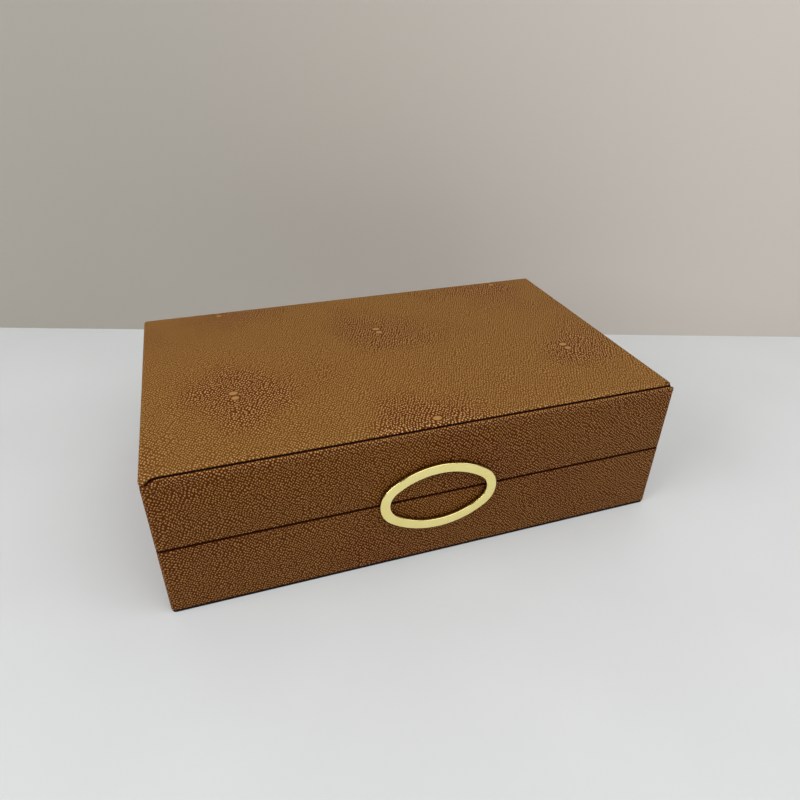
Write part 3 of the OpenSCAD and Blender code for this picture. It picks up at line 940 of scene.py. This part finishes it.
def grain_colour(tree, grain, seam, on_top):
    """The leather's colour, with the rubbed edge's painted highlight and the walls' painted shade, before its
    edges are darkened by painted shade.
    """
    fine = ramp(tree, grain.outputs["Fineness"], 0.15, 0.8)
    coarse_tops = blend_colours(tree, grain.outputs["Tone"], *COARSE_TOPS)
    fine_tops = blend_colours(tree, grain.outputs["Tone"], *FINE_TOPS)
    tops = blend_colours(tree, fine, coarse_tops, fine_tops)
    tops = blend_colours(tree, grain.outputs["Pearl"], tops, PEARL_TOP)
    # Paler rubbed tops near the seam, partly a painted highlight along the rolled edges
    rubbed_highlight = ramp(tree, seam, *RUBBED_HIGHLIGHT_TO, 0.0, RUBBED_HIGHLIGHT_SHARE)
    tops = blend_colours(tree, rubbed_highlight, tops, RUBBED_AND_HIGHLIGHT)
    ground = blend_colours(tree, fine, *GROUND)
    base = blend_colours(tree, ramp(tree, grain.outputs["Height"], 0.04, 0.7), ground, tops)
    top_wear = maths(tree, "MULTIPLY", on_top, ramp(tree, fine, 0.0, 1.0, *TOP_WEAR))
    wear = maths(tree, "MAXIMUM", top_wear, WALL_WEAR)
    base = blend_colours(tree, wear, base, blend_colours(tree, fine, *WORN))
    # Painted shade: the walls come out darker than the top
    return blend_colours(tree, ramp(tree, on_top, 0.0, 1.0, WALL_SHADE_SHARE, 0.0), base, WALL_SHADE)


def painted_edge_shade(tree, place, seam):
    """Painted shade: 1 in the seam's groove and on the leather's outer edges at the parting and the foot, 0
    elsewhere.
    """
    z = place.outputs["Z"]
    depth_x = maths(tree, "SUBTRACT", HALF_X, maths(tree, "ABSOLUTE", place.outputs["X"]))
    depth_y = maths(tree, "SUBTRACT", HALF_Y, maths(tree, "ABSOLUTE", place.outputs["Y"]))
    outside = ramp(tree, maths(tree, "MINIMUM", depth_x, depth_y), *OUTER_SKIN)
    from_parting = maths(tree, "ABSOLUTE", maths(tree, "SUBTRACT", z, PARTING))
    at_parting = ramp(tree, from_parting, *PARTING_EDGE)
    at_foot = ramp(tree, maths(tree, "SUBTRACT", z, BASE_LOW.z), *FOOT_EDGE)
    edges = maths(tree, "MULTIPLY", maths(tree, "MAXIMUM", at_parting, at_foot), outside)
    return maths(tree, "MAXIMUM", ramp(tree, seam, *GROOVE_TO), edges)


def shagreen_material(name, offset, pearls, stretch):
    """Leather with the pressed grain, read from the piece's UV map, and painted darker and redder on the
    walls as shade.

    offset shifts the pattern between pieces, pearls is 1 for a piece with pearls and 0 for one without, and
    stretch is how much longer than wide the pebbles are.
    """
    material, tree, surface = new_material(name)
    flat = put(tree, "ShaderNodeUVMap", uv_map="leather").outputs["UV"]
    vector = vector_maths(tree, "ADD", flat, (*offset, 0.0))
    place = put(tree, "ShaderNodeSeparateXYZ", {"Vector": object_coords(tree)})
    seam = from_seam(tree)
    whole_pearls = ramp(tree, seam, *PEARLS_FROM, 0.0, pearls)
    grain = use_group(tree, SHAGREEN, {"Vector": vector, "Pearls": whole_pearls, "Stretch": stretch})
    height = grain.outputs["Height"]
    on_top = ramp(tree, place.outputs["Z"], *TOP_EDGE)
    base = grain_colour(tree, grain, seam, on_top)
    shade = painted_edge_shade(tree, place, seam)
    base = blend_colours(tree, maths(tree, "MULTIPLY", shade, SHADE_SHARE), base, SHADE)
    tree.links.new(base, surface.inputs["Base Color"])
    tree.links.new(ramp(tree, height, 0.0, 1.0, *GRAIN_ROUGHNESS), surface.inputs["Roughness"])
    tree.links.new(ramp(tree, shade, 0.0, 1.0, *GLOSS), surface.inputs["Specular IOR Level"])
    surface.inputs["Specular Tint"].default_value = GLOSS_TINT
    bump = put(tree, "ShaderNodeBump", {"Height": height, "Distance": GRAIN_DEPTH, "Strength": 1.0})
    tree.links.new(bump.outputs["Normal"], surface.inputs["Normal"])
    return material


# Other materials

def gilt_material():
    """Polished pale gold with faint wipe marks, with painted shade darkening the ring's back half, near the
    leather.
    """
    material, tree, surface = new_material("gilt")
    vector = object_coords(tree)
    clouds = noise(tree, vector, 120.0, 3.0).outputs["Fac"]
    wiped = put(tree, "ShaderNodeMapping", {"Vector": vector, "Scale": (1, 1, 8)}).outputs[0]
    marks = noise(tree, wiped, 500.0, 2.0).outputs["Fac"]
    base = blend_colours(tree, ramp(tree, clouds, 0.3, 0.7), colour(253, 237, 155), colour(255, 241, 166))
    place = put(tree, "ShaderNodeSeparateXYZ", {"Vector": vector})
    from_front = maths(tree, "SUBTRACT", place.outputs["Y"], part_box("ring_pull")[0].y)
    # Painted shade: the ring darkens towards its back, standing in for the shadow and the dark reflection
    # near the leather
    behind = ramp(tree, from_front, 0.5 * MM, 1.6 * MM, 0.0, 0.85)
    base = blend_colours(tree, behind, base, colour(96, 72, 20))
    tree.links.new(base, surface.inputs["Base Color"])
    surface.inputs["Metallic"].default_value = 1.0
    tree.links.new(ramp(tree, marks, 0.25, 0.75, 0.1, 0.15), surface.inputs["Roughness"])
    return material


def metal_material(name, dark, light, roughness):
    """Satin metal, drawn along X, a little darker in patches."""
    material, tree, surface = new_material(name)
    vector = object_coords(tree)
    drawn = put(tree, "ShaderNodeMapping", {"Vector": vector, "Scale": (0.06, 1, 1)}).outputs[0]
    lines = noise(tree, drawn, 5200.0, 3.0, 0.6).outputs["Fac"]
    patches = noise(tree, vector, 240.0, 3.0).outputs["Fac"]
    tone = ramp(tree, blend_two(tree, lines, patches, 0.4), 0.35, 0.65)
    tree.links.new(blend_colours(tree, tone, dark, light), surface.inputs["Base Color"])
    surface.inputs["Metallic"].default_value = 1.0
    tree.links.new(ramp(tree, tone, 0.0, 1.0, roughness + 0.1, roughness - 0.04), surface.inputs["Roughness"])
    bump = put(tree, "ShaderNodeBump", {"Height": lines, "Distance": 0.01 * MM, "Strength": 0.6})
    tree.links.new(bump.outputs["Normal"], surface.inputs["Normal"])
    return material


def fibre_material(name, dark, light, fibre, depth, sheen=0.0):
    """A matt fibrous stuff: board, card, suede or felt.

    fibre is the size of its fibres and depth how far they stand out, both in metres.
    """
    material, tree, surface = new_material(name)
    vector = object_coords(tree)
    fibres = noise(tree, vector, 1 / fibre, 4.0, 0.65, 0.6).outputs["Fac"]
    clouds = noise(tree, vector, 60.0, 3.0, 0.55).outputs["Fac"]
    tone = ramp(tree, blend_two(tree, fibres, clouds, 0.55), 0.36, 0.64)
    tree.links.new(blend_colours(tree, tone, dark, light), surface.inputs["Base Color"])
    tree.links.new(ramp(tree, fibres, 0.3, 0.7, 0.98, 0.86), surface.inputs["Roughness"])
    surface.inputs["Specular IOR Level"].default_value = 0.15
    surface.inputs["Sheen Weight"].default_value = sheen
    surface.inputs["Sheen Roughness"].default_value = 0.5
    bump = put(tree, "ShaderNodeBump", {"Height": fibres, "Distance": depth, "Strength": 0.8})
    tree.links.new(bump.outputs["Normal"], surface.inputs["Normal"])
    return material


def paint_seam_shade(material):
    """Paints shade on the board's edge where it lies under the groove of the seam."""
    tree = material.node_tree
    surface = tree.nodes["Principled BSDF"]
    bare = surface.inputs["Base Color"].links[0].from_socket
    seam_shade = ramp(tree, from_seam(tree), 4.5 * MM, 3.5 * MM)
    # Painted shade: the board's edge is darkened under the groove
    tree.links.new(blend_colours(tree, seam_shade, bare, colour(44, 18, 8)), surface.inputs["Base Color"])


suede = fibre_material("suede", colour(150, 124, 98), colour(176, 150, 122), 0.5 * MM, 0.12 * MM, 0.25)
felt = fibre_material("felt", colour(12, 11, 11), colour(30, 28, 27), 0.7 * MM, 0.25 * MM, 0.05)
board = fibre_material("fibreboard", colour(140, 112, 80), colour(178, 150, 112), 0.9 * MM, 0.08 * MM)
paint_seam_shade(board)
card = fibre_material("card", colour(150, 142, 126), colour(178, 170, 152), 0.6 * MM, 0.03 * MM)
brass = metal_material("brass", colour(176, 144, 84), colour(206, 176, 112), 0.3)
steel = metal_material("steel", colour(150, 150, 152), colour(190, 190, 192), 0.28)
SLOTS = {"board": board, "card": card, "brass": brass, "steel": steel}

# Pieces

# The photograph shows longer pebbles on the top than on the front
WALL_STRETCH = 1.15
TOP_STRETCH = 1.4
base_leather = shagreen_material("shagreen_base", (31 * MM, 17 * MM), 0.0, WALL_STRETCH)
front_leather = shagreen_material("shagreen_front", (-23 * MM, 0.0), 0.0, WALL_STRETCH)
top_leather = shagreen_material("shagreen_top", (0.0, 0.0), 1.0, TOP_STRETCH)
make_base_cover(base_leather)
make_lid_front(front_leather)
make_lid_top(top_leather)
make_ring(gilt_material())
make_felt(felt)
for body in ("base", "lid"):
    for wall in ("front", "back", "left", "right"):
        lining = make_slab(f"{body}_{wall}_suede", f"{body}_{wall}_lining", suede, body, 0.5 * MM)
make_slab("floor_suede", "base_floor_lining", suede, "base", 0.6 * MM)
make_slab("ceiling_suede", "lid_top_lining", suede, "lid", 0.6 * MM)

# The CAD nodes that stay get their materials
for part in frame["record"]["subparts"]:
    finish = SLOTS.get(part["material_slot"])
    node = nodes[part["node"]]
    if finish and not node.hide_render:
        node.data.materials.clear()
        node.data.materials.append(finish)

# Camera, fitted to the box's edges in the photograph

FOCAL_PX = 620.6
IMAGE_PX = 800
CAMERA_AT = Vector((-107.11, -341.89, 273.82)) * MM
AZIMUTH = math.radians(-18.749)
ELEVATION = math.radians(31.711)
ROLL = math.radians(0.8045)

back = Vector((
    math.sin(AZIMUTH) * math.cos(ELEVATION), -math.cos(AZIMUTH) * math.cos(ELEVATION), math.sin(ELEVATION),
))
level = Vector((math.cos(AZIMUTH), math.sin(AZIMUTH), 0))
upright = back.cross(level)
right = math.cos(ROLL) * level + math.sin(ROLL) * upright
up = math.cos(ROLL) * upright - math.sin(ROLL) * level
camera_data = bpy.data.cameras.new("camera")
camera_data.sensor_width = 36
camera_data.lens = FOCAL_PX * camera_data.sensor_width / IMAGE_PX
camera_data.clip_start = 10 * MM
camera = bpy.data.objects.new("camera", camera_data)
camera.matrix_world = Matrix.Translation(CAMERA_AT) @ Matrix((right, up, back)).transposed().to_4x4()
bpy.context.scene.collection.objects.link(camera)
bpy.context.scene.camera = camera


# Table, wall and light

# The stage planes are this large
STAGE = 3.0
# Two points of the line where the wall meets the table, at the left and at the right as the camera sees it
WALL_LEFT = Vector((-215.9, 299.9, 0)) * MM
WALL_RIGHT = Vector((372.3, 104.0, 0)) * MM


def stage_plane(name, material):
    """A square plane of the stage, lying at the origin."""
    bm = bmesh.new()
    bmesh.ops.create_grid(bm, x_segments=1, y_segments=1, size=STAGE / 2)
    mesh = bpy.data.meshes.new(name)
    bm.to_mesh(mesh)
    bm.free()
    mesh.materials.append(material)
    plane = bpy.data.objects.new(name, mesh)
    bpy.context.scene.collection.objects.link(plane)
    return plane


def plain_material(name, dark, light, roughness):
    """A plain painted surface with faint clouds."""
    material, tree, surface = new_material(name)
    clouds = noise(tree, object_coords(tree), 9.0, 3.0).outputs["Fac"]
    base = blend_colours(tree, ramp(tree, clouds, 0.3, 0.7), dark, light)
    tree.links.new(base, surface.inputs["Base Color"])
    surface.inputs["Roughness"].default_value = roughness
    return material


def wall_material():
    """A wall with painted light, a little lighter to the right, and clear from behind, so that the box's back
    can be looked at.
    """
    material, tree, surface = new_material("wall_paint")
    along = put(tree, "ShaderNodeSeparateXYZ", {"Vector": object_coords(tree)}).outputs["X"]
    # Painted light: the wall brightens to the right, as if more light fell there
    tone = ramp(tree, along, -0.35, 0.35)
    base = blend_colours(tree, tone, colour(166, 161, 152), colour(203, 196, 188))
    tree.links.new(base, surface.inputs["Base Color"])
    surface.inputs["Roughness"].default_value = 0.8
    behind = tree.nodes.new("ShaderNodeNewGeometry").outputs["Backfacing"]
    clear = tree.nodes.new("ShaderNodeBsdfTransparent").outputs[0]
    shown = put(tree, "ShaderNodeMixShader", {0: behind, 1: surface.outputs[0], 2: clear}).outputs[0]
    tree.links.new(shown, tree.nodes["Material Output"].inputs["Surface"])
    return material


stage_plane("table", plain_material("table_white", colour(213, 216, 217), colour(216, 219, 220), 0.55))
wall = stage_plane("wall", wall_material())
run = (WALL_RIGHT - WALL_LEFT).normalized()
upwards = Vector((0, 0, 1))
turned = Matrix((run, upwards, run.cross(upwards))).transposed().to_4x4()
wall.matrix_world = Matrix.Translation((WALL_LEFT + WALL_RIGHT) / 2) @ turned


def area_light(name, at, target, size, watts):
    """A soft square white lamp that points at a target."""
    data = bpy.data.lights.new(name, "AREA")
    data.size = size
    data.energy = watts
    lamp = bpy.data.objects.new(name, data)
    lamp.location = at
    lamp.rotation_euler = (Vector(target) - Vector(at)).to_track_quat("-Z", "Y").to_euler()
    bpy.context.scene.collection.objects.link(lamp)


area_light("overhead", (0.1, -0.7, 1.1), (0, 0, 0), 1.3, 9.4)
area_light("right", (0.9, -0.45, 0.7), (0.4, 0.1, 0.1), 0.6, 2.0)
area_light("left", (-1.1, -0.3, 0.75), (-0.15, 0, 0), 0.9, 9.4)

world = bpy.data.worlds.new("room")
world.use_nodes = True
background = world.node_tree.nodes["Background"]
background.inputs["Color"].default_value = colour(228, 228, 228)
background.inputs["Strength"].default_value = 0.27
bpy.context.scene.world = world
bpy.context.scene.view_settings.view_transform = "Standard"
